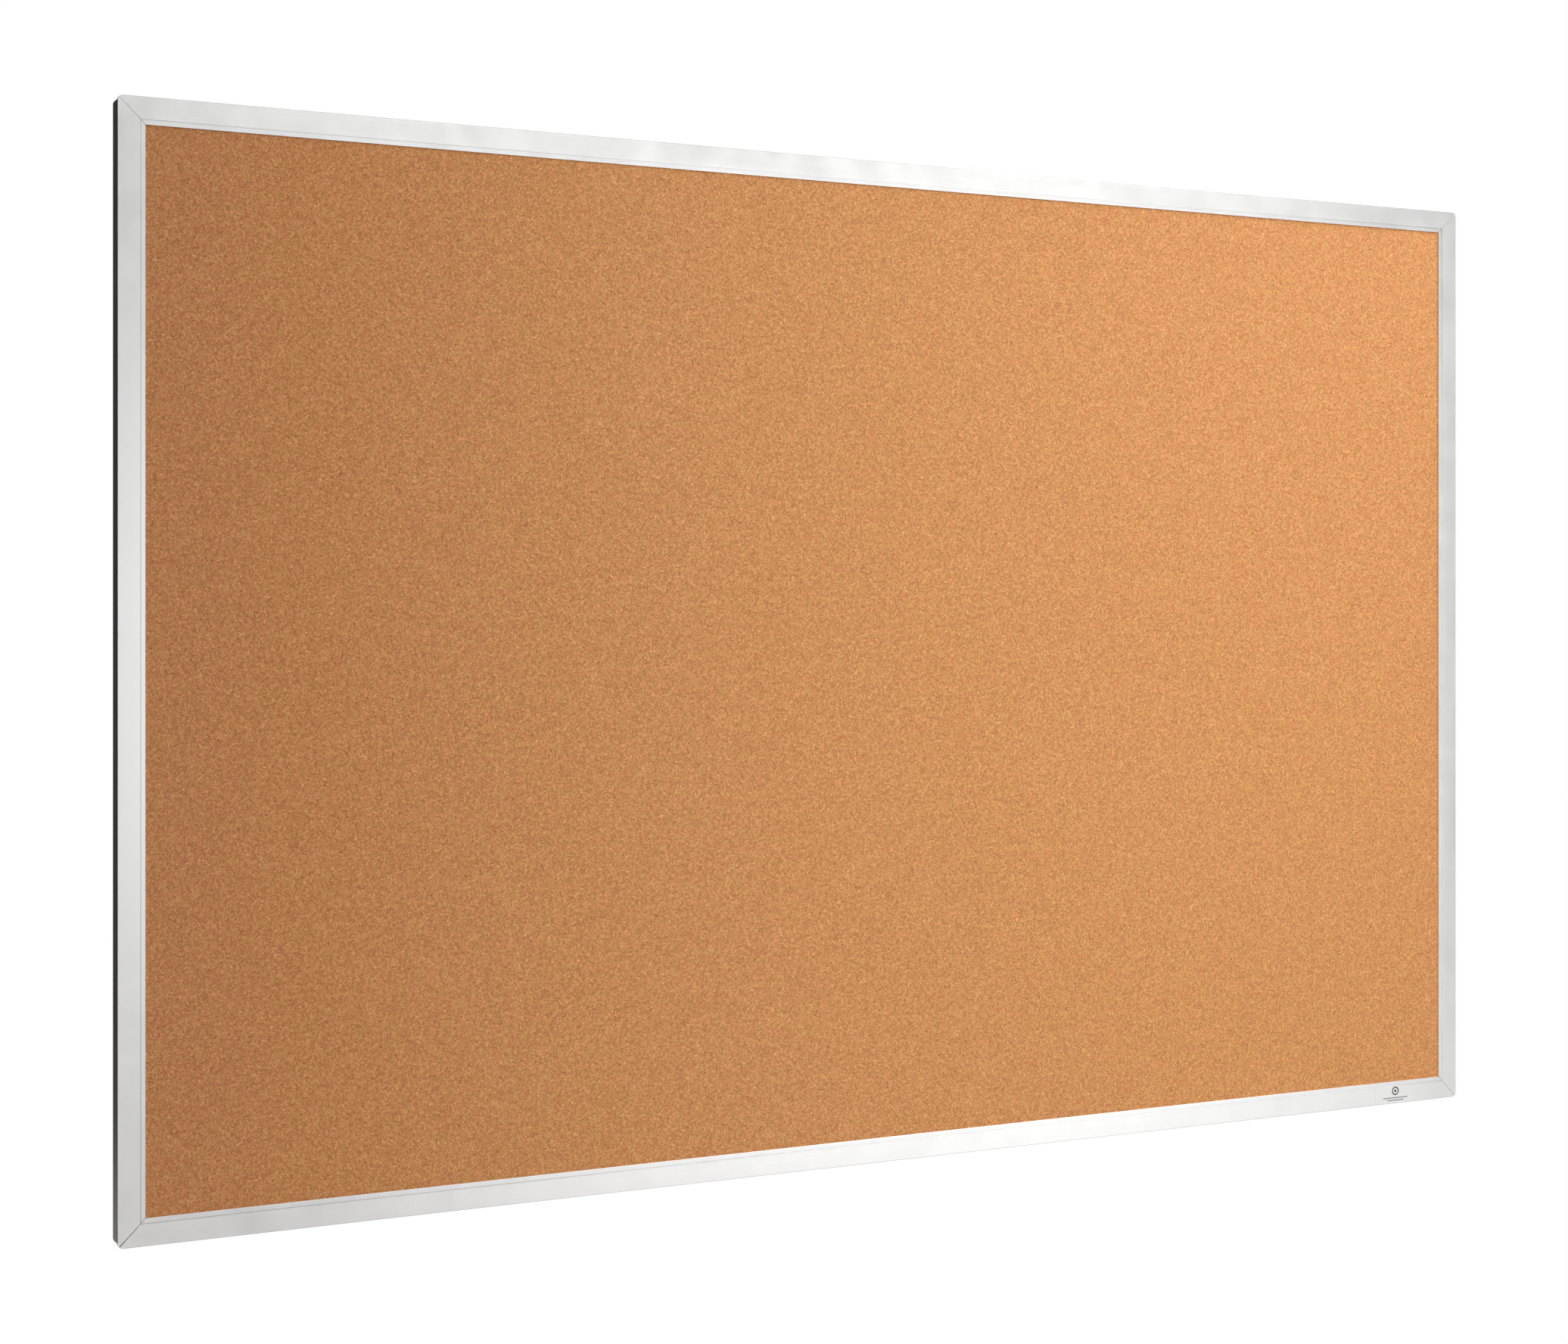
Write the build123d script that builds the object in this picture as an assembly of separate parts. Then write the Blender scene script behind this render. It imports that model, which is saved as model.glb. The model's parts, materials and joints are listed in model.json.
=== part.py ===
from build123d import *
import os

# Cork bulletin board with an aluminium frame, hung on four sliding wall hangers. Millimetres.
# The origin is the centre of the four wall screws, in the wall plane y = 0. X runs along the
# board, the cork faces -Y, and Z is up.

# The board
WIDTH = 1828.8  # 72 in
HEIGHT = 1219.2  # 48 in
DEPTH = 28.0  # front plane of the frame to the back of its rails
WALL_GAP = 2.5  # the rubber bumpers hold the rails this far off the wall

# The frame's extrusion. u is the distance inward from the frame's outer edge, v the distance
# back from the frame's front plane.
FACE_U = 29.5  # the whole face, from the outer edge to the cork
FLAT_U = 24.0  # the wide outer flat of the face
STEP_V = 0.9  # the inner strip lies this far behind the wide flat
FACE_WALL = 1.6
SIDE_U = 1.2  # the side wall stands this far inside the face's outer edge
SIDE_WALL = 1.8
WEB_V = 15.0  # front of the web that closes the panel's groove
WALL = 1.6  # web, channel wall and rear lips
CHANNEL_U = 24.5  # outer face of the rear channel's inner wall
SLOT_U = (8.0, 17.7)  # the rear channel's open slot

OVERSIZE = 5.0  # how far a wall is drawn past the outside before it is trimmed

# Corners, mitres and splices
CORNER_RADIUS = 6.0
FRONT_ROUND = 0.4
LIP_ROUND = 0.3
BACK_ROUND = 0.4
MITRE_GAP = 0.36  # across the joint
OPEN_MITRE = 0.55  # how much wider the bottom left mitre is at its outer end
SPLICE_GAP = 0.08

# The panel that the groove holds, front to back
CORK_THICK = 3.0
CORE_THICK = 9.0
BACKING_THICK = 0.4
PANEL_U = 3.5  # the panel's edge, in from the frame's outer edge

# Corner keys, splice bars and their set screws, in the rear channel
BAR_WIDTH = 18.9
BAR_THICK = 3.0
BAR_CLEAR = 0.2  # from the bar to the rear lips
KEY_LEG = 75.0
KEY_CHAMFER = 4.0
KEY_SCREWS = (36.0, 62.0)  # from the board's corner, along each leg
SPLICE_LENGTH = 160.0
SPLICE_SCREWS = (-62.0, -25.0, 25.0, 62.0)
SCREW_RADIUS = 2.95
SCREW_HOLE = 3.0
SCREW_CHAMFER = 0.6
SCREW_SOCKET = 3.0  # across flats
SOCKET_DEPTH = 3.5

# Wall hangers
HANGER_WIDTH = 40.0
HANGER_THICK = 2.0
HANGER_X = 609.6  # rest position, 24 in either side of the middle
HANGER_HOLE_U = 50.8  # the wall screw's hole, in from the board's edge
HANGER_END_U = 64.0
HANGER_HOLE_RADIUS = 2.75
HANGER_CORNER = 6.0
TAB_CORNER = 2.0
BEND_RADIUS = 1.5  # at the middle of the strip's thickness
HOOK_CLEAR = 0.15  # ledge to the lip that rests on it
HOOK_BEHIND = 0.5  # tab to the back of that lip
TOP_TAB_U = 3.6  # top of the upper hangers' tab, in from the board's top edge
BOTTOM_TAB_U = 22.0  # top of the lower hangers' tab, in from the board's bottom edge

# Bumpers and label
BUMPER_RADIUS = 10.0
BUMPER_ROUND = 0.7
LABEL_WIDTH = 80.0
LABEL_HEIGHT = 22.8
LABEL_THICK = 0.15
LABEL_FROM_RIGHT = 60.8
LABEL_CORNER = 1.5

BACK = DEPTH + WALL_GAP  # front plane to wall plane
LIP_V = STEP_V + FACE_WALL  # the cork lies against the back of the inner strip
REAR_LIP_V = DEPTH - WALL
CHANNEL_MID_U = (SIDE_U + SIDE_WALL + CHANNEL_U - WALL) / 2
LEFT = -WIDTH / 2
BOTTOM = -HEIGHT / 2


def write(name, shape):
    """Write one node of the board."""
    export_step(shape, f"parts/{name}.step")


def y_of(v):
    """The y of a place at a depth v behind the frame's front plane."""
    return v - BACK


def block(x_span, v_span, z_span):
    """A box between two values on each axis, with its depth given from the front plane."""
    centre = Vector(sum(x_span) / 2, y_of(sum(v_span) / 2), sum(z_span) / 2)
    size = (x_span[1] - x_span[0], v_span[1] - v_span[0], z_span[1] - z_span[0])
    return Pos(centre) * Box(*size)


def flipped(shape, right, top):
    """The bottom left shape, carried to another corner of the board."""
    if right:
        shape = mirror(shape, about=Plane.YZ)
    if top:
        shape = mirror(shape, about=Plane.XY)
    return shape


def slab(outline, v_span):
    """An outline in the board's own X and Z, given thickness from one depth to another."""
    plane = Plane(origin=(0, y_of(v_span[1]), 0), x_dir=(1, 0, 0), z_dir=(0, -1, 0))
    return extrude(plane * outline, v_span[1] - v_span[0])


# ---------------------------------------------------------------- frame


def wall(u_span, v_span):
    """One straight wall of the extrusion, as a rectangle in the profile's plane."""
    middle = Pos(sum(u_span) / 2, sum(v_span) / 2)
    return middle * Rectangle(u_span[1] - u_span[0], v_span[1] - v_span[0])


def profile():
    """The extrusion: stepped face, side wall, panel groove, and a rear channel with two lips.

    Walls that reach the outside run past it by OVERSIZE, and the frame's envelope trims them.
    """
    inner = SIDE_U + SIDE_WALL
    back = DEPTH + OVERSIZE
    section = wall((-OVERSIZE, FLAT_U), (-OVERSIZE, FACE_WALL))
    section += wall((FLAT_U - FACE_WALL, FLAT_U), (0, LIP_V))
    section += wall((FLAT_U - FACE_WALL, FACE_U), (STEP_V, LIP_V))
    section += wall((-OVERSIZE, inner), (0, back))
    section += wall((0, CHANNEL_U), (WEB_V, WEB_V + WALL))
    section += wall((CHANNEL_U - WALL, CHANNEL_U), (WEB_V, back))
    section += wall((0, SLOT_U[0]), (REAR_LIP_V, back))
    section += wall((SLOT_U[1], CHANNEL_U), (REAR_LIP_V, back))
    lip_edges = [p for p in section.vertices() if p.X > FACE_U - 0.01]
    return fillet(lip_edges, LIP_ROUND)


def member(length, upright):
    """A full length of the extrusion at the left edge if upright, else at the bottom edge."""
    corner = (LEFT, y_of(0), BOTTOM)
    if upright:
        plane = Plane(origin=corner, x_dir=(1, 0, 0), z_dir=(0, 0, 1))
    else:
        plane = Plane(origin=(-LEFT, y_of(0), BOTTOM), x_dir=(0, 0, 1), z_dir=(-1, 0, 0))
    return extrude(plane * profile(), length)


def envelope():
    """The outside of the whole frame: a thin face with rounded corners over a smaller body."""
    face = slab(RectangleRounded(WIDTH, HEIGHT, CORNER_RADIUS), (0, FACE_WALL))
    side_radius = CORNER_RADIUS - SIDE_U
    side = RectangleRounded(WIDTH - 2 * SIDE_U, HEIGHT - 2 * SIDE_U, side_radius)
    return face + slab(side, (FACE_WALL, DEPTH))


def mitre_cut(opening):
    """Ends of a mitre's cut line, from outside the frame to inside it.

    Each is (distance along the member from the board's corner, distance across the member).
    The opening widens the joint at the member's outer edge and fades to nothing inside.
    """
    setback = MITRE_GAP / 2 * 2**0.5
    reach = FACE_U + OVERSIZE
    slope = (reach - opening) / reach
    outer = (setback + opening - OVERSIZE * slope, -OVERSIZE)
    return outer, (setback + reach, reach)


def cut_zone(corners):
    """What one member may fill, from (distance along X, distance along Z) of the corners."""
    outline = Polyline(*[(LEFT + x, BOTTOM + z) for x, z in corners], close=True)
    return slab(make_face(outline), (-OVERSIZE, DEPTH + OVERSIZE))


def half_rail_zone(opening):
    """The left half of the bottom rail, between its mitre and the splice."""
    outer, inner = mitre_cut(opening)
    splice = WIDTH / 2 - SPLICE_GAP / 2
    return cut_zone([outer, inner, (splice, inner[1]), (splice, outer[1])])


def stile_zone(opening):
    """The left stile, between its two mitres, the lower of which may be a little open."""
    low = [(x, z) for z, x in mitre_cut(opening)]
    high = [(x, HEIGHT - z) for z, x in reversed(mitre_cut(0))]
    return cut_zone(low + high)


def rounded(piece, axis):
    """The piece with the long edges of its front and back eased, but not its cut ends."""
    for v, radius in ((0, FRONT_ROUND), (DEPTH, BACK_ROUND)):
        flat = [e for e in piece.edges() if abs(e.bounding_box().min.Y - y_of(v)) < 0.001]
        flat = [e for e in flat if e.bounding_box().size.Y < 0.001]
        long_edges = ShapeList(flat).filter_by(axis)
        arcs = ShapeList(flat).filter_by(GeomType.CIRCLE)
        piece = fillet(long_edges + arcs, radius)
    return piece


def make_frame():
    outside = envelope()
    rail = member(WIDTH, upright=False) & outside
    stile = member(HEIGHT, upright=True) & outside
    half_opening = OPEN_MITRE / 2 * 2**0.5
    for top in (False, True):
        for right in (False, True):
            opening = 0 if top or right else half_opening
            half = rounded(rail & half_rail_zone(opening), Axis.X)
            name = f"{'top' if top else 'bottom'}_rail_{'right' if right else 'left'}"
            write(name, flipped(half, right, top))
    write("left_stile", rounded(stile & stile_zone(half_opening), Axis.Z))
    write("right_stile", flipped(rounded(stile & stile_zone(0), Axis.Z), True, False))


# ---------------------------------------------------------------- panel


def make_panel():
    half_x = WIDTH / 2 - PANEL_U
    half_z = HEIGHT / 2 - PANEL_U
    v = LIP_V
    layers = (("cork_sheet", CORK_THICK), ("core_board", CORE_THICK), ("backing_sheet", BACKING_THICK))
    for name, thick in layers:
        write(name, block((-half_x, half_x), (v, v + thick), (-half_z, half_z)))
        v += thick


# ---------------------------------------------------------------- corner keys and splice bars


def bar_span():
    """Depths of the front and back of the keys and bars, close behind the rear lips."""
    back = REAR_LIP_V - BAR_CLEAR
    return back - BAR_THICK, back


def set_screw(x, z):
    """A socket set screw through a bar, standing on the channel's web."""
    front = WEB_V + WALL + 0.1
    back = bar_span()[1]
    plane = Plane(origin=(x, y_of(front), z), x_dir=(1, 0, 0), z_dir=(0, 1, 0))
    screw = extrude(plane * Circle(SCREW_RADIUS), back - front)
    screw = chamfer(screw.edges().filter_by(GeomType.CIRCLE), SCREW_CHAMFER)
    socket_plane = plane.offset(back - front)
    hexagon = RegularPolygon(SCREW_SOCKET / 2, 6, major_radius=False)
    return screw - extrude(socket_plane * hexagon, -SOCKET_DEPTH)


def tapped(bar, places):
    """The bar with a hole for the set screw at each place."""
    for x, z in places:
        hole = Cylinder(SCREW_HOLE, 4 * BAR_THICK, rotation=(90, 0, 0))
        bar -= Pos(x, y_of(sum(bar_span()) / 2), z) * hole
    return bar


def corner_key():
    """The bottom left key, with the places of its four screws."""
    edge = CHANNEL_MID_U - BAR_WIDTH / 2
    outline = [
        (edge + KEY_CHAMFER, edge),
        (KEY_LEG, edge),
        (KEY_LEG, edge + BAR_WIDTH),
        (edge + BAR_WIDTH, edge + BAR_WIDTH),
        (edge + BAR_WIDTH, KEY_LEG),
        (edge, KEY_LEG),
        (edge, edge + KEY_CHAMFER),
    ]
    corners = [(LEFT + x, BOTTOM + z) for x, z in outline]
    key = slab(make_face(Polyline(*corners, close=True)), bar_span())
    along = [(LEFT + d, BOTTOM + CHANNEL_MID_U) for d in KEY_SCREWS]
    upward = [(LEFT + CHANNEL_MID_U, BOTTOM + d) for d in KEY_SCREWS]
    return tapped(key, along + upward), along + upward


def make_joints():
    key, key_places = corner_key()
    key_screws = Compound(children=[set_screw(x, z) for x, z in key_places])
    middle_z = BOTTOM + CHANNEL_MID_U
    splice_places = [(x, middle_z) for x in SPLICE_SCREWS]
    half = SPLICE_LENGTH / 2
    z_span = (middle_z - BAR_WIDTH / 2, middle_z + BAR_WIDTH / 2)
    splice = tapped(block((-half, half), bar_span(), z_span), splice_places)
    splice_screws = Compound(children=[set_screw(x, z) for x, z in splice_places])
    for top in (False, True):
        row = "top" if top else "bottom"
        for right in (False, True):
            corner = f"{row}_{'right' if right else 'left'}"
            write(f"corner_key_{corner}", flipped(key, right, top))
            write(f"corner_screws_{corner}", flipped(key_screws, right, top))
        write(f"{row}_splice_bar", flipped(splice, False, top))
        write(f"{row}_splice_screws", flipped(splice_screws, False, top))


# ---------------------------------------------------------------- wall hangers


def hanger(edge_z, inward, ledge_u, tab_u):
    """A strip bent twice, for the rail whose outer edge is at edge_z, with inward = 1 or -1 in Z.

    A plate lies on the wall, a ledge passes forward through the slot close under a rear lip,
    and a tab stands up in front of that lip. ledge_u is the ledge's middle, tab_u the tab's top.
    """
    plate_y = y_of(BACK - HANGER_THICK / 2)
    tab_y = y_of(REAR_LIP_V - HOOK_BEHIND - HANGER_THICK / 2)
    end_z = edge_z + inward * HANGER_END_U
    ledge_z = edge_z + inward * ledge_u
    tab_z = edge_z + inward * tab_u
    bends = [(plate_y, end_z), (plate_y, ledge_z), (tab_y, ledge_z), (tab_y, tab_z)]
    strip = trace(FilletPolyline(*bends, radius=BEND_RADIUS), HANGER_THICK)
    body = extrude(Plane.YZ.offset(-HANGER_WIDTH / 2) * strip, HANGER_WIDTH)
    for z, radius in ((end_z, HANGER_CORNER), (tab_z, TAB_CORNER)):
        corners = [e for e in body.edges().filter_by(Axis.Y) if abs(e.center().Z - z) < 0.01]
        body = fillet(corners, radius)
    hole = Cylinder(HANGER_HOLE_RADIUS, 2 * HANGER_THICK, rotation=(90, 0, 0))
    return body - Pos(0, plate_y, edge_z + inward * HANGER_HOLE_U) * hole


def make_hangers():
    """The upper hangers carry the board by its outer rear lip, the lower ones by the inner."""
    under_lip = HOOK_CLEAR + HANGER_THICK / 2
    top = hanger(-BOTTOM, -1, SLOT_U[0] + under_lip, TOP_TAB_U)
    bottom = hanger(BOTTOM, 1, SLOT_U[1] - under_lip, BOTTOM_TAB_U)
    for side, x in (("left", -HANGER_X), ("right", HANGER_X)):
        write(f"top_hanger_{side}", Pos(x, 0, 0) * top)
        write(f"bottom_hanger_{side}", Pos(x, 0, 0) * bottom)


# ---------------------------------------------------------------- bumpers and label


def bumper():
    """The bottom left bumper, stuck over the mitre on the back of the frame."""
    centre = (LEFT + CHANNEL_MID_U, y_of(DEPTH), BOTTOM + CHANNEL_MID_U)
    plane = Plane(origin=centre, x_dir=(1, 0, 0), z_dir=(0, 1, 0))
    pad = extrude(plane * Circle(BUMPER_RADIUS), WALL_GAP)
    return fillet(pad.edges().filter_by(GeomType.CIRCLE).sort_by(Axis.Y)[-1], BUMPER_ROUND)


def make_trim():
    pad = bumper()
    for top in (False, True):
        for right in (False, True):
            corner = f"{'top' if top else 'bottom'}_{'right' if right else 'left'}"
            write(f"bumper_{corner}", flipped(pad, right, top))
    x = WIDTH / 2 - LABEL_FROM_RIGHT - LABEL_WIDTH / 2
    z = BOTTOM + FLAT_U / 2
    outline = Pos(x, z) * RectangleRounded(LABEL_WIDTH, LABEL_HEIGHT, LABEL_CORNER)
    write("front_label", slab(outline, (-LABEL_THICK, 0)))


os.makedirs("parts", exist_ok=True)
make_frame()
make_panel()
make_joints()
make_hangers()
make_trim()
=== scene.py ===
import json
import math

import bmesh
import bpy
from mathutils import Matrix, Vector


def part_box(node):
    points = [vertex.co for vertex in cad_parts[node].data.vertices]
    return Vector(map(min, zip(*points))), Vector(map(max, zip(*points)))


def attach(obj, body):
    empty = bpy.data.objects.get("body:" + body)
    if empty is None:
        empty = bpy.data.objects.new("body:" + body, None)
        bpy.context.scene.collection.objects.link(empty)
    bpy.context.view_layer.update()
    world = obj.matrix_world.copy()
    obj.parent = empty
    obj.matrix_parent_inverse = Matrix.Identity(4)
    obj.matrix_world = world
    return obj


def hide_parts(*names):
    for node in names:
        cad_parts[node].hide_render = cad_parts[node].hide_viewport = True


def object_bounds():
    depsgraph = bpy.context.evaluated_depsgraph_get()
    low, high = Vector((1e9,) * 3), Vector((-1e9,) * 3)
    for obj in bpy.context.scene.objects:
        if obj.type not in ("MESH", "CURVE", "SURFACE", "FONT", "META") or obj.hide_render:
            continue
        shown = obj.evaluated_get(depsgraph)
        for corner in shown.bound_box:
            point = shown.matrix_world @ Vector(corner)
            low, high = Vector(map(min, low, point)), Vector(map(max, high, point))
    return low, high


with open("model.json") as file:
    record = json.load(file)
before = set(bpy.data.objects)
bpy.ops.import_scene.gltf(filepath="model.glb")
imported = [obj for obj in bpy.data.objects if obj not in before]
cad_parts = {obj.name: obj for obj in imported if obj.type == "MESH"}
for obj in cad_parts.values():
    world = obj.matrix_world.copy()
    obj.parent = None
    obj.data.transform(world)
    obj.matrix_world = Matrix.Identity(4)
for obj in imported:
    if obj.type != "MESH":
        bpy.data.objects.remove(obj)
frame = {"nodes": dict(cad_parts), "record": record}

# A cork bulletin board in an aluminium frame. Metres, in the part's own frame: X along the
# board, the cork faces -Y, the wall plane is y = 0, Z is up.

MM = 0.001
NODES = frame["nodes"]
CAD_LOW, CAD_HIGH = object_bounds()
FRONT_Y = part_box("left_stile")[0].y
HALF_WIDTH = CAD_HIGH.x
HALF_HEIGHT = CAD_HIGH.z
HEIGHT = CAD_HIGH.z - CAD_LOW.z

# ---------------------------------------------------------------- camera

YAW = math.radians(27.0)  # the camera looks to the right of the board's own normal
LENS = 58.79
SENSOR = 36.0
SHIFT_Y = -0.0475
# From the board's lower left front corner, in board heights
CAMERA_LEFT = 0.4921
CAMERA_AWAY = 2.2362
CAMERA_UP = 0.5643


def make_camera():
    data = bpy.data.cameras.new("camera")
    data.lens = LENS
    data.sensor_width = SENSOR
    data.shift_y = SHIFT_Y
    data.clip_end = 50
    camera = bpy.data.objects.new("camera", data)
    bpy.context.scene.collection.objects.link(camera)
    corner = Vector((CAD_LOW.x, FRONT_Y, CAD_LOW.z))
    camera.location = corner + HEIGHT * Vector((-CAMERA_LEFT, -CAMERA_AWAY, CAMERA_UP))
    camera.rotation_euler = (math.pi / 2, 0, -YAW)
    bpy.context.scene.camera = camera


# ---------------------------------------------------------------- material graphs


class Graph:
    """A material's node tree, with a Principled shader at its end."""

    def __init__(self, name, **plain):
        self.material = bpy.data.materials.new(name)
        self.material.use_nodes = True
        self.tree = self.material.node_tree
        self.shader = self.tree.nodes["Principled BSDF"]
        for key, value in plain.items():
            self.shader.inputs[key.replace("_", " ")].default_value = value
        self.place = self.node("ShaderNodeTexCoord").outputs["Object"]

    def node(self, kind, inputs=None, **settings):
        """A new node; an input is a plain value or another node's output."""
        made = self.tree.nodes.new(kind)
        for key, value in settings.items():
            setattr(made, key, value)
        for key, value in (inputs or {}).items():
            self.feed(made.inputs[key], value)
        return made

    def feed(self, socket, value):
        if isinstance(value, bpy.types.NodeSocket):
            self.tree.links.new(value, socket)
        else:
            socket.default_value = value

    def surface(self, **sockets):
        """Set or link inputs of the Principled shader, named with underscores for spaces."""
        for key, value in sockets.items():
            self.feed(self.shader.inputs[key.replace("_", " ")], value)

    def math(self, operation, first, second=0.0):
        return self.node("ShaderNodeMath", {0: first, 1: second}, operation=operation).outputs[0]

    def axes(self):
        split = self.node("ShaderNodeSeparateXYZ", {0: self.place})
        return split.outputs["X"], split.outputs["Y"], split.outputs["Z"]

    def stretched(self, scale, place=None):
        """The place, scaled along each axis."""
        inputs = {"Vector": place or self.place, "Scale": scale}
        return self.node("ShaderNodeMapping", inputs).outputs[0]

    def noise(self, scale, detail=2.0, roughness=0.5, place=None, colour=False):
        inputs = {"Vector": place or self.place, "Scale": scale, "Detail": detail}
        made = self.node("ShaderNodeTexNoise", {**inputs, "Roughness": roughness})
        return made.outputs["Color" if colour else "Fac"]

    def cells(self, scale, place=None, feature="F1"):
        """Voronoi cells, about scale of them to the metre."""
        inputs = {"Vector": place or self.place, "Scale": scale}
        return self.node("ShaderNodeTexVoronoi", inputs, feature=feature)

    def pick(self, cells, channel):
        """One random value for each cell."""
        return self.node("ShaderNodeSeparateColor", {0: cells.outputs["Color"]}).outputs[channel]

    def span(self, value, low, high, to_low=0.0, to_high=1.0, smooth=False):
        """The value carried from one range to another, clamped at both ends."""
        inputs = {0: value, 1: low, 2: high, 3: to_low, 4: to_high}
        kind = "SMOOTHSTEP" if smooth else "LINEAR"
        return self.node("ShaderNodeMapRange", inputs, interpolation_type=kind).outputs[0]

    def ramp(self, value, stops):
        made = self.node("ShaderNodeValToRGB", {0: value})
        elements = made.color_ramp.elements
        while len(elements) < len(stops):
            elements.new(0.5)
        for element, (position, colour) in zip(elements, stops):
            element.position = position
            element.color = (*colour, 1)
        return made.outputs["Color"]

    def mix(self, factor, first, second, blend="MIX"):
        made = self.node("ShaderNodeMix", data_type="RGBA", blend_type=blend)
        for index, value in ((0, factor), (6, first), (7, second)):
            if isinstance(value, tuple) and len(value) == 3:
                value = (*value, 1)
            self.feed(made.inputs[index], value)
        return made.outputs[2]

    def bump(self, height, distance, strength, normal=None):
        inputs = {"Height": height, "Distance": distance, "Strength": strength}
        if normal:
            inputs["Normal"] = normal
        return self.node("ShaderNodeBump", inputs).outputs[0]


# ---------------------------------------------------------------- materials

SILVER = (0.803, 0.802, 0.800)
# Painted shade colour for the frame's outer edges and step lines
PAINTED_EDGE_SHADE = (0.30, 0.28, 0.28)
MITRE_GRIME = (0.16, 0.14, 0.12)
SEALANT = (0.30, 0.17, 0.08)
STEP = 24 * MM  # from the frame's outer edge to the step in its face
RAIL_STEP_LINE = STEP - 0.15 * MM  # where the painted shade line lies along the step
STILE_STEP_LINE = STEP + 0.55 * MM
RAIL_EDGE_SHADE = 0.62
STILE_EDGE_SHADE = 0.30
STEP_SHADE = 0.62


def aluminium(name, along_x):
    """Satin anodised extrusion: die lines along its length, a fine etch and mottling, with painted shade
    lines along the outer edge and the step.
    """
    g = Graph(name, Metallic=1.0)
    x, _, z = g.axes()
    from_side = g.math("SUBTRACT", HALF_WIDTH, g.math("ABSOLUTE", x))
    from_rail = g.math("SUBTRACT", HALF_HEIGHT, g.math("ABSOLUTE", z))
    outer = from_rail if along_x else from_side
    lengthwise = (3, 900, 900) if along_x else (900, 900, 3)
    die_lines = g.noise(1.0, 3.0, 0.6, g.stretched(lengthwise))
    etch = g.noise(2600.0, 2.0, 0.6)
    mottle = g.noise(28.0, 4.0, 0.55)
    off_mitre = g.math("ABSOLUTE", g.math("SUBTRACT", from_side, from_rail))
    near_mitre = g.span(off_mitre, 0.2 * MM, 1.2 * MM, 1.0, 0.0, smooth=True)
    grime = g.math("MULTIPLY", near_mitre, g.span(g.noise(240.0, 3.0), 0.35, 0.75))
    tone = g.math("ADD", g.math("MULTIPLY", mottle, 0.10), g.math("MULTIPLY", die_lines, 0.05))
    shade = g.math("ADD", tone, 0.925)
    grey = g.node("ShaderNodeCombineColor", {0: shade, 1: shade, 2: shade}).outputs[0]
    base = g.mix(1.0, SILVER, grey, "MULTIPLY")
    # Painted shade along the outer edge, and a painted shade line along the step of the bottom rails or
    # left stile
    edge_shade = RAIL_EDGE_SHADE if along_x else STILE_EDGE_SHADE
    # painted shade: the rounded outer edge darkened, standing in for less light falling on it
    edge = g.span(outer, 0.35 * MM, 0.75 * MM, edge_shade, 0.0)
    base = g.mix(edge, base, PAINTED_EDGE_SHADE)
    step_line = RAIL_STEP_LINE if along_x else STILE_STEP_LINE
    off_step = g.math("ABSOLUTE", g.math("SUBTRACT", outer, step_line))
    # painted shade: a dark line along the step, only on the bottom rail and left stile and weaker
    # towards the rail's right end, to cancel the highlight on the rounded step edge
    step = g.span(off_step, 0.30 * MM, 0.60 * MM, STEP_SHADE, 0.0)
    shaded_side = g.span(z if along_x else x, -0.1, 0.0, 1.0, 0.0)
    if along_x:
        shaded_side = g.math("MULTIPLY", shaded_side, g.span(x, 0.5, 0.8, 1.0, 0.6))
    base = g.mix(g.math("MULTIPLY", step, shaded_side), base, PAINTED_EDGE_SHADE)
    base = g.mix(g.math("MULTIPLY", grime, 0.35), base, MITRE_GRIME)
    low_left = g.math("MULTIPLY", g.math("LESS_THAN", x, 0.0), g.math("LESS_THAN", z, 0.0))
    corner = g.math("MULTIPLY", low_left, g.span(from_rail, 4 * MM, 9 * MM, 1.0, 0.0, smooth=True))
    smear = g.math("MULTIPLY", corner, g.span(off_mitre, 0.4 * MM, 1.1 * MM, 1.0, 0.0, smooth=True))
    base = g.mix(g.math("MULTIPLY", smear, 0.5), base, SEALANT)
    roughness = g.math("ADD", g.math("MULTIPLY", mottle, 0.10), g.math("MULTIPLY", die_lines, 0.08))
    roughness = g.math("ADD", roughness, g.math("MULTIPLY", grime, 0.25))
    relief = g.math("ADD", g.math("MULTIPLY", die_lines, 0.6), g.math("MULTIPLY", etch, 0.4))
    g.surface(Base_Color=base, Roughness=g.math("ADD", roughness, 0.30))
    g.surface(Normal=g.bump(relief, 0.02 * MM, 0.35))
    return g.material


LARGE_CELLS, SMALL_CELLS, CHIP_CELLS = 520.0, 1000.0, 330.0  # granules to the metre
# a little less green, for the left part of the sheet
CORK_LEFT_TINT = (0.985, 0.93, 0.985)
CORK_GRAINS = (
    (0.00, (0.320, 0.117, 0.037)),
    (0.18, (0.410, 0.164, 0.054)),
    (0.38, (0.492, 0.217, 0.076)),
    (0.60, (0.561, 0.258, 0.092)),
    (0.82, (0.637, 0.310, 0.116)),
    (1.00, (0.796, 0.447, 0.189)),
)
CORK_BINDER = (0.337, 0.137, 0.047)
CORK_BARK = (0.153, 0.056, 0.020)
CORK_PALE = (0.918, 0.616, 0.332)
CORK_RED = (0.597, 0.256, 0.095)
CORK_STRAW = (0.563, 0.269, 0.090)
CORK_EVEN = (1.725, 3.806, 10.81)  # brings the two hues back to white on average


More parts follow.
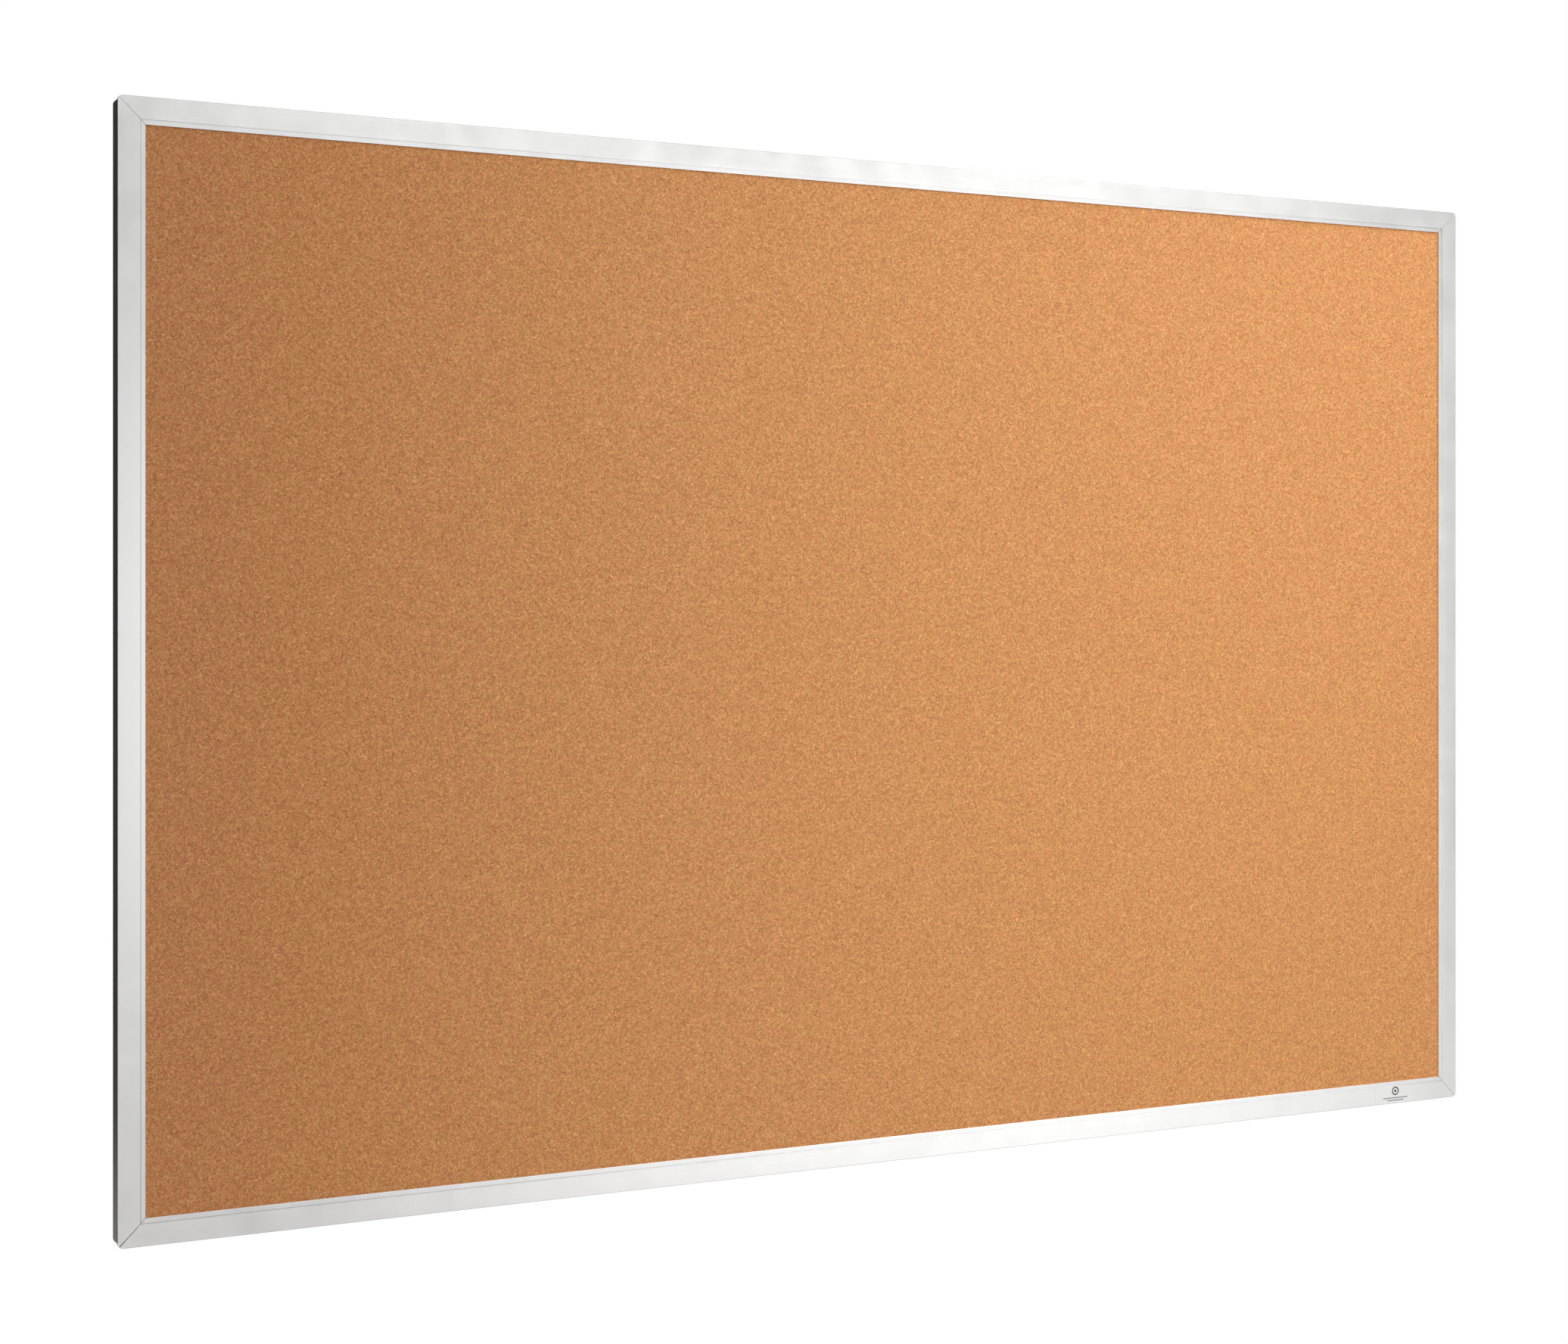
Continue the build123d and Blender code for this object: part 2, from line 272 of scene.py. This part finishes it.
def cork():
    """Agglomerated cork: pressed granules in two sizes, bark specks, pale chips and binder."""
    g = Graph("cork", Specular_IOR_Level=0.25)
    warp = g.noise(800.0, 2.0, colour=True)
    shift = g.node("ShaderNodeVectorMath", {0: warp, 1: (0.5, 0.5, 0.5)}, operation="SUBTRACT")
    shift = g.node("ShaderNodeVectorMath", {0: shift.outputs[0], "Scale": 1.4 * MM}, operation="SCALE")
    place = g.node("ShaderNodeVectorMath", {0: g.place, 1: shift.outputs[0]}, operation="ADD").outputs[0]
    flat = g.stretched((1.0, 0.0, 1.0), place)
    edge = g.cells(LARGE_CELLS, flat, "DISTANCE_TO_EDGE").outputs["Distance"]
    large_value = g.pick(g.cells(LARGE_CELLS, flat), 0)
    small_value = g.pick(g.cells(SMALL_CELLS, flat), 1)
    blended = g.math("ADD", g.math("MULTIPLY", large_value, 0.54), g.math("MULTIPLY", small_value, 0.46))
    patches = g.math("SUBTRACT", g.noise(80.0, 4.0, 0.6), 0.5)
    grain = g.ramp(g.math("ADD", blended, g.math("MULTIPLY", patches, 0.12)), CORK_GRAINS)
    ruddy = g.span(g.noise(130.0, 3.0, 0.6), 0.36, 0.64)
    hue = g.mix(ruddy, CORK_STRAW, CORK_RED)
    hue = g.mix(1.0, hue, CORK_EVEN, "MULTIPLY")
    grain = g.mix(0.85, grain, g.mix(1.0, grain, hue, "MULTIPLY"))
    chips = g.cells(CHIP_CELLS, flat)
    bark = g.math("GREATER_THAN", g.pick(chips, 2), 0.982)
    pale = g.math("LESS_THAN", g.pick(chips, 2), 0.022)
    chip = g.span(chips.outputs["Distance"], 0.16, 0.36, 1.0, 0.0, smooth=True)
    grain = g.mix(g.math("MULTIPLY", g.math("MULTIPLY", bark, chip), 0.8), grain, CORK_BARK)
    grain = g.mix(g.math("MULTIPLY", g.math("MULTIPLY", pale, chip), 0.35), grain, CORK_PALE)
    seam = g.span(edge, 0.0, 0.10, 1.0, 0.0, smooth=True)
    colour = g.mix(g.math("MULTIPLY", seam, 0.30), grain, CORK_BINDER)
    # The sheet is a little redder towards its left edge
    left_tint = g.span(g.axes()[0], -HALF_WIDTH, -0.35 * HALF_WIDTH, 1.0, 0.0, smooth=True)
    colour = g.mix(left_tint, colour, g.mix(1.0, colour, CORK_LEFT_TINT, "MULTIPLY"))
    height = g.math("SUBTRACT", g.math("MULTIPLY", blended, 0.7), g.math("MULTIPLY", seam, 0.4))
    height = g.math("ADD", height, g.math("MULTIPLY", g.noise(3000.0, 2.0), 0.25))
    g.surface(Base_Color=colour, Roughness=g.span(blended, 0.0, 1.0, 0.92, 0.74))
    g.surface(Normal=g.bump(height, 0.35 * MM, 0.5))
    return g.material


def fibreboard():
    """Softboard: grey-brown felted fibres."""
    g = Graph("fibreboard", Specular_IOR_Level=0.2)
    fibres = g.noise(500.0, 6.0, 0.7, g.stretched((1.0, 1.0, 0.35)))
    clumps = g.noise(70.0, 4.0, 0.6)
    tone = g.math("ADD", g.math("MULTIPLY", fibres, 0.7), g.math("MULTIPLY", clumps, 0.3))
    stops = ((0.3, (0.22, 0.15, 0.09)), (0.55, (0.36, 0.27, 0.17)), (0.75, (0.50, 0.40, 0.27)))
    g.surface(Base_Color=g.ramp(tone, stops), Roughness=g.span(tone, 0.3, 0.7, 0.95, 0.85))
    g.surface(Normal=g.bump(tone, 0.3 * MM, 0.5))
    return g.material


def kraft_paper():
    """Brown kraft backing: faint machine ribs, short fibres, shives and soft cockling."""
    g = Graph("kraft_paper", Specular_IOR_Level=0.3)
    x, _, z = g.axes()
    ribs = g.math("SINE", g.math("MULTIPLY", z, 2 * math.pi / (3.2 * MM)))
    fibres = g.noise(900.0, 5.0, 0.7, g.stretched((0.25, 1.0, 1.0)))
    clouds = g.noise(22.0, 6.0, 0.72, g.stretched((0.6, 1.0, 1.0)))
    shives = g.cells(160.0, g.stretched((0.5, 0.0, 1.0)))
    is_shive = g.math("GREATER_THAN", g.pick(shives, 0), 0.93)
    shive = g.math("MULTIPLY", is_shive, g.span(shives.outputs["Distance"], 0.05, 0.16, 1.0, 0.0))
    tone = g.math("ADD", g.math("MULTIPLY", fibres, 0.62), g.math("MULTIPLY", clouds, 0.38))
    tone = g.math("ADD", tone, g.math("MULTIPLY", ribs, 0.012))
    stops = ((0.30, (0.33, 0.205, 0.108)), (0.52, (0.40, 0.262, 0.145)), (0.75, (0.47, 0.325, 0.19)))
    colour = g.mix(g.math("MULTIPLY", shive, 0.55), g.ramp(tone, stops), (0.17, 0.10, 0.05))
    cockle = g.noise(14.0, 2.0)
    height = g.math("ADD", g.math("MULTIPLY", fibres, 0.10), g.math("MULTIPLY", ribs, 0.02))
    normal = g.bump(cockle, 2.5 * MM, 0.25, g.bump(height, 0.2 * MM, 0.6))
    g.surface(Base_Color=colour, Roughness=g.span(fibres, 0.3, 0.7, 0.86, 0.72), Normal=normal)
    return g.material


def zinc_steel(name, tint):
    """Zinc plated pressed steel: fine spangle, rolled grain, darker stains and bright rubs."""
    g = Graph(name, Metallic=1.0)
    grain = g.noise(1.0, 3.0, 0.6, g.stretched((60, 60, 1400)))
    spangle = g.pick(g.cells(420.0), 0)
    stain = g.span(g.noise(55.0, 5.0, 0.65), 0.45, 0.75)
    rubbed = g.span(g.noise(320.0, 4.0, 0.7, g.stretched((0.2, 1, 1))), 0.60, 0.72)
    colour = g.mix(g.math("MULTIPLY", spangle, 0.20), tint, (0.78, 0.79, 0.80))
    colour = g.mix(g.math("MULTIPLY", stain, 0.35), colour, (0.36, 0.36, 0.37))
    roughness = g.math("ADD", g.math("MULTIPLY", grain, 0.14), g.math("MULTIPLY", stain, 0.15))
    roughness = g.math("SUBTRACT", g.math("ADD", roughness, 0.27), g.math("MULTIPLY", rubbed, 0.10))
    g.surface(Base_Color=colour, Roughness=roughness)
    g.surface(Normal=g.bump(g.math("ADD", grain, spangle), 0.03 * MM, 0.4))
    return g.material


def black_screw():
    """Black oxide steel, oily, with bare steel showing where a key has turned it."""
    g = Graph("black_screw", Metallic=1.0)
    pits = g.noise(1800.0, 4.0, 0.6)
    bare = g.span(g.noise(700.0, 3.0), 0.60, 0.70)
    oxide = g.ramp(pits, ((0.3, (0.02, 0.02, 0.022)), (0.7, (0.055, 0.055, 0.06))))
    g.surface(Base_Color=g.mix(bare, oxide, (0.30, 0.30, 0.31)))
    g.surface(Roughness=g.span(pits, 0.3, 0.7, 0.32, 0.52))
    g.surface(Normal=g.bump(pits, 0.03 * MM, 0.5))
    return g.material


def bumper_rubber():
    """Moulded black rubber: fine bloom, dust and a slightly orange-peel skin."""
    g = Graph("bumper_rubber", Specular_IOR_Level=0.4)
    skin = g.noise(1500.0, 3.0, 0.6)
    bloom = g.span(g.noise(160.0, 5.0, 0.65), 0.45, 0.75)
    colour = g.mix(g.math("MULTIPLY", bloom, 0.5), (0.025, 0.025, 0.027), (0.085, 0.083, 0.08))
    g.surface(Base_Color=colour, Roughness=g.span(bloom, 0.0, 1.0, 0.55, 0.8))
    g.surface(Normal=g.bump(skin, 0.06 * MM, 0.5))
    return g.material


def label_film():
    """Silver label film: a little paler and more matt than the rail, with a faint haze and dust."""
    g = Graph("label_film", Metallic=0.9)
    haze = g.noise(300.0, 4.0, 0.6)
    dust = g.span(g.noise(1400.0, 3.0, 0.7), 0.66, 0.74)
    colour = g.mix(haze, (0.780, 0.780, 0.778), (0.808, 0.808, 0.806))
    g.surface(Base_Color=g.mix(g.math("MULTIPLY", dust, 0.3), colour, (0.70, 0.69, 0.67)))
    g.surface(Roughness=g.span(haze, 0.3, 0.7, 0.40, 0.46))
    g.surface(Normal=g.bump(haze, 0.01 * MM, 0.2))
    return g.material


def ink(name, dark, pale):
    """Screen-printed ink, a little thin and mottled."""
    g = Graph(name, Specular_IOR_Level=0.35)
    thin = g.noise(900.0, 4.0, 0.65)
    g.surface(Base_Color=g.mix(g.span(thin, 0.45, 0.75), dark, pale))
    g.surface(Roughness=g.span(thin, 0.3, 0.7, 0.45, 0.6), Normal=g.bump(thin, 0.01 * MM, 0.4))
    return g.material


def finish_nodes(materials):
    """Each CAD node takes the material of its slot, and rails and stiles their own direction."""
    for part in frame["record"]["subparts"]:
        node, slot = part["node"], part["material_slot"]
        if slot == "frame_aluminium":
            slot = "stile_aluminium" if "stile" in node else "rail_aluminium"
        slots = NODES[node].data.materials
        slots.clear()
        slots.append(materials[slot])


# ---------------------------------------------------------------- pieces


def add_piece(name, mesh, material, replaced=()):
    """A visual piece fixed to the board, in place of the CAD nodes it replaces."""
    piece = bpy.data.objects.new(name, mesh)
    bpy.context.scene.collection.objects.link(piece)
    mesh.materials.append(material)
    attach(piece, "board")
    if replaced:
        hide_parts(*replaced)


def plate_mesh(name, outline, back_y, thick, bevel=0.0):
    """A thin plate facing -Y, from its outline of (x, z) points, with its front rim eased."""
    bm = bmesh.new()
    back = [bm.verts.new((x, back_y, z)) for x, z in outline]
    middle = Vector((sum(x for x, _ in outline), 0, sum(z for _, z in outline))) / len(outline)
    rings = [back]
    for inset, y in ((0.0, back_y - thick + bevel), (bevel, back_y - thick)):
        ring = []
        for x, z in outline:
            out = Vector((x - middle.x, 0, z - middle.z))
            out.length = max(out.length - inset, 0)
            ring.append(bm.verts.new((middle.x + out.x, y, middle.z + out.z)))
        rings.append(ring)
    count = len(outline)
    for low, high in zip(rings, rings[1:]):
        for i in range(count):
            j = (i + 1) % count
            bm.faces.new((low[i], low[j], high[j], high[i]))
    bm.faces.new(rings[-1])
    bm.faces.new(reversed(back))
    bmesh.ops.recalc_face_normals(bm, faces=bm.faces)
    mesh = bpy.data.meshes.new(name)
    bm.to_mesh(mesh)
    bm.free()
    return mesh


def rounded_rectangle(centre, width, height, radius, steps=8):
    """Outline of a rectangle with round corners, as (x, z) points."""
    points = []
    for quarter, (sx, sz) in enumerate(((1, 1), (-1, 1), (-1, -1), (1, -1))):
        for step in range(steps + 1):
            angle = math.pi / 2 * (quarter + step / steps)
            x = centre[0] + sx * (width / 2 - radius) + radius * math.cos(angle)
            z = centre[1] + sz * (height / 2 - radius) + radius * math.sin(angle)
            points.append((x, z))
    return points


def ring_mesh(name, centre, inner, outer, back_y, thick, steps=48):
    """A flat ring facing -Y."""
    bm = bmesh.new()
    section = ((inner, 0), (outer, 0), (outer, -thick), (inner, -thick))
    rows = []
    for step in range(steps):
        angle = 2 * math.pi * step / steps
        place = Vector((math.cos(angle), 0, math.sin(angle)))
        at = [Vector((centre[0], back_y + y, centre[1])) + place * r for r, y in section]
        rows.append([bm.verts.new(p) for p in at])
    for row, following in zip(rows, rows[1:] + rows[:1]):
        for i in range(4):
            j = (i + 1) % 4
            bm.faces.new((row[i], row[j], following[j], following[i]))
    bmesh.ops.recalc_face_normals(bm, faces=bm.faces)
    mesh = bpy.data.meshes.new(name)
    bm.to_mesh(mesh)
    bm.free()
    return mesh


FILM_THICK = 0.09 * MM
FILM_CORNER = 1.5 * MM
FILM_BEVEL = 0.03 * MM
INK_THICK = 0.03 * MM
MARK_PLACE = (-5.5 * MM, 4.9 * MM)  # from the middle of the label
RING_INNER, RING_OUTER = 4.0 * MM, 5.8 * MM
DOT_RADIUS = 1.9 * MM
RULES = ((4.4 * MM, 42.0 * MM), (7.6 * MM, 28.0 * MM))  # drop below the middle, width
RULE_HEIGHT = 1.5 * MM
RULE_CORNER = 0.7 * MM


def make_label(materials):
    """The silver film with a plain ring, dot and two rules printed on it in place of any mark."""
    low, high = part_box("front_label")
    centre = ((low.x + high.x) / 2, (low.z + high.z) / 2)
    outline = rounded_rectangle(centre, high.x - low.x, high.z - low.z, FILM_CORNER)
    mesh = plate_mesh("label_film", outline, high.y, FILM_THICK, FILM_BEVEL)
    add_piece("label_film", mesh, materials["label_film"], ["front_label"])
    on_film = high.y - FILM_THICK
    mark = (centre[0] + MARK_PLACE[0], centre[1] + MARK_PLACE[1])
    ring = ring_mesh("label_ring", mark, RING_INNER, RING_OUTER, on_film, INK_THICK)
    add_piece("label_ring", ring, materials["dark_ink"])
    dot_outline = rounded_rectangle(mark, 2 * DOT_RADIUS, 2 * DOT_RADIUS, DOT_RADIUS)
    dot = plate_mesh("label_dot", dot_outline, on_film, INK_THICK)
    add_piece("label_dot", dot, materials["dark_ink"])
    for number, (drop, width) in enumerate(RULES, start=1):
        rule_centre = (mark[0], centre[1] - drop)
        rule_outline = rounded_rectangle(rule_centre, width, RULE_HEIGHT, RULE_CORNER, 4)
        rule = plate_mesh(f"label_rule_{number}", rule_outline, on_film, INK_THICK)
        add_piece(f"label_rule_{number}", rule, materials["grey_ink"])


def bumper_section(radius, height):
    """Half section of a bumper, (r, height above the frame): waisted side, domed rim, dimple."""
    points = [(0.0, 0.0), (radius * 0.97, 0.0), (radius, height * 0.12), (radius * 0.985, height * 0.55)]
    rim = radius * 0.16
    for step in range(7):
        angle = math.pi / 2 * step / 6
        r = radius * 0.985 - rim + rim * math.cos(angle)
        points.append((r, height * 0.62 + height * 0.38 * math.sin(angle)))
    points.append((radius * 0.42, height))
    for step in range(1, 6):
        angle = math.pi / 2 * step / 5
        points.append((radius * 0.38 * math.cos(angle), height - height * 0.22 * math.sin(angle)))
    return points


def make_bumpers(materials, steps=56):
    """A moulded pad at each corner of the back, turned from its half section."""
    for node in sorted(n for n in NODES if n.startswith("bumper_")):
        low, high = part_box(node)
        centre = Vector(((low.x + high.x) / 2, low.y, (low.z + high.z) / 2))
        section = bumper_section((high.x - low.x) / 2, high.y - low.y)
        bm = bmesh.new()
        rows = []
        for r, lift in section:
            count = 1 if r < 0.01 * MM else steps
            angles = [2 * math.pi * i / count for i in range(count)]
            ring = [centre + Vector((r * math.cos(a), lift, r * math.sin(a))) for a in angles]
            rows.append([bm.verts.new(p) for p in ring])
        for inner, outer in zip(rows, rows[1:]):
            for i in range(steps):
                j = (i + 1) % steps
                near = [inner[i % len(inner)], inner[j % len(inner)]]
                far = [outer[j % len(outer)], outer[i % len(outer)]]
                bm.faces.new(list(dict.fromkeys(near + far)))
        bmesh.ops.recalc_face_normals(bm, faces=bm.faces)
        mesh = bpy.data.meshes.new(f"{node}_pad")
        bm.to_mesh(mesh)
        bm.free()
        mesh.shade_smooth()
        add_piece(f"{node}_pad", mesh, materials["bumper_rubber"], [node])


# ---------------------------------------------------------------- stage and light

FLOOR_Z = CAD_LOW.z - 0.9
FLOOR_RADIUS = 2.4
FADE_FROM = 1.5


def make_floor():
    """A pale round floor far below the board, whose rim fades into the white around it."""
    bm = bmesh.new()
    bmesh.ops.create_circle(bm, cap_ends=True, radius=FLOOR_RADIUS, segments=96)
    mesh = bpy.data.meshes.new("floor")
    bm.to_mesh(mesh)
    bm.free()
    floor = bpy.data.objects.new("floor", mesh)
    bpy.context.scene.collection.objects.link(floor)
    floor.location.z = FLOOR_Z
    g = Graph("floor", Roughness=0.9, Specular_IOR_Level=0.1)
    distance = g.node("ShaderNodeVectorMath", {0: g.place}, operation="LENGTH").outputs["Value"]
    fade = g.span(distance, FADE_FROM, FLOOR_RADIUS - 0.05, 1.0, 0.0, smooth=True)
    g.surface(Base_Color=(0.9, 0.9, 0.9, 1), Alpha=fade)
    mesh.materials.append(g.material)


def soft_light(name, azimuth, elevation, distance, size, power, aim=0.0, spread=180):
    """A soft area light around the board; azimuth 0 is straight in front, positive to the right.

    It points at a place on the board's level middle line, aim metres right of the centre.
    """
    data = bpy.data.lights.new(name, "AREA")
    data.shape = "RECTANGLE"
    data.size, data.size_y = size
    data.energy = power
    data.spread = math.radians(spread)
    light = bpy.data.objects.new(name, data)
    bpy.context.scene.collection.objects.link(light)
    turn, lift = math.radians(azimuth), math.radians(elevation)
    level = math.cos(lift)
    light.location = distance * Vector((math.sin(turn) * level, -math.cos(turn) * level, math.sin(lift)))
    towards = Vector((aim, 0, 0)) - light.location
    light.rotation_euler = towards.to_track_quat("-Z", "Y").to_euler()
    light.visible_camera = False


def make_lights():
    strip, box, bank, low_bank = (0.5, 1.2), (1.1, 1.4), (1.6, 1.2), (1.4, 1.0)
    soft_light("key_strip", 20, 0, 2.7, strip, 2.3)
    soft_light("key_box", 35, 0, 2.7, box, 20)
    soft_light("front_narrow", 0, 0, 2.7, box, 3.9, aim=0.5, spread=80)
    soft_light("left_fill", -25, 0, 2.7, box, 0.4)
    soft_light("upper_front", 0, 45, 2.9, bank, 24)
    soft_light("upper_narrow", 0, 45, 2.9, bank, 1.6, aim=0.6, spread=70)
    soft_light("upper_side", 65, 45, 2.9, bank, 42)
    soft_light("upper_side_narrow", 65, 45, 2.9, bank, 4.2, aim=0.5, spread=70)
    soft_light("lower_left", -30, -25, 2.9, low_bank, 8.8)
    soft_light("lower_front", 20, -25, 2.9, low_bank, 4)
    soft_light("lower_right", 50, -25, 2.9, low_bank, 4.2)
    soft_light("right_high", 58, 17, 2.9, (0.5, 0.5), 0.62)
    soft_light("overhead", 0, 85, 2.6, (2.4, 1.6), 8)
    soft_light("low_behind", -148, -25, 3.0, (0.7, 0.4), 0.36)
    soft_light("back_middle", 165, 25, 3.0, bank, 42)
    soft_light("back_right", 128, 30, 3.0, bank, 36)


def make_world():
    """White to the eye; to the surfaces a dim studio, brighter behind the board.

    A soft dark place behind and to the left keeps the left side of the frame in shade.
    """
    world = bpy.data.worlds.new("studio")
    bpy.context.scene.world = world
    world.use_nodes = True
    tree = world.node_tree
    tree.nodes.clear()

    def made(kind, inputs, **settings):
        node = tree.nodes.new(kind)
        for key, value in settings.items():
            setattr(node, key, value)
        for key, value in inputs.items():
            if isinstance(value, bpy.types.NodeSocket):
                tree.links.new(value, node.inputs[key])
            else:
                node.inputs[key].default_value = value
        return node

    towards = made("ShaderNodeTexCoord", {}).outputs["Generated"]
    y = made("ShaderNodeSeparateXYZ", {0: towards}).outputs["Y"]
    behind = made("ShaderNodeMapRange", {0: y, 1: 0.0, 2: 0.5}, interpolation_type="SMOOTHSTEP")
    shade_way = Vector((-0.3, 0.95, 0.0)).normalized()
    near_shade = made("ShaderNodeVectorMath", {0: towards, 1: shade_way}, operation="DOT_PRODUCT")
    ends = {0: near_shade.outputs["Value"], 1: 0.45, 2: 0.80, 3: 1.0, 4: 0.0}
    open_sky = made("ShaderNodeMapRange", ends, interpolation_type="SMOOTHSTEP")
    lit = made("ShaderNodeMath", {0: behind.outputs[0], 1: open_sky.outputs[0]}, operation="MULTIPLY")
    level = made("ShaderNodeMapRange", {0: lit.outputs[0], 3: 0.022, 4: 0.60})
    studio = made("ShaderNodeBackground", {"Color": (1, 0.92, 0.84, 1), "Strength": level.outputs[0]})
    seen = made("ShaderNodeBackground", {"Color": (1, 1, 1, 1), "Strength": 1.0})
    to_eye = made("ShaderNodeLightPath", {}).outputs["Is Camera Ray"]
    both = made("ShaderNodeMixShader", {0: to_eye, 1: studio.outputs[0], 2: seen.outputs[0]})
    made("ShaderNodeOutputWorld", {"Surface": both.outputs[0]})


def set_view():
    settings = bpy.context.scene.view_settings
    settings.view_transform = "Standard"
    settings.look = "None"


make_camera()
MATERIALS = {
    "rail_aluminium": aluminium("rail_aluminium", along_x=True),
    "stile_aluminium": aluminium("stile_aluminium", along_x=False),
    "cork": cork(),
    "fibreboard": fibreboard(),
    "kraft_paper": kraft_paper(),
    "zinc_steel": zinc_steel("zinc_steel", (0.55, 0.555, 0.56)),
    "hanger_steel": zinc_steel("hanger_steel", (0.62, 0.625, 0.64)),
    "black_screw": black_screw(),
    "bumper_rubber": bumper_rubber(),
    "label_film": label_film(),
    "dark_ink": ink("dark_ink", (0.045, 0.045, 0.05), (0.10, 0.10, 0.11)),
    "grey_ink": ink("grey_ink", (0.22, 0.22, 0.23), (0.34, 0.34, 0.35)),
}
finish_nodes(MATERIALS)
make_label(MATERIALS)
make_bumpers(MATERIALS)
make_floor()
make_lights()
make_world()
set_view()
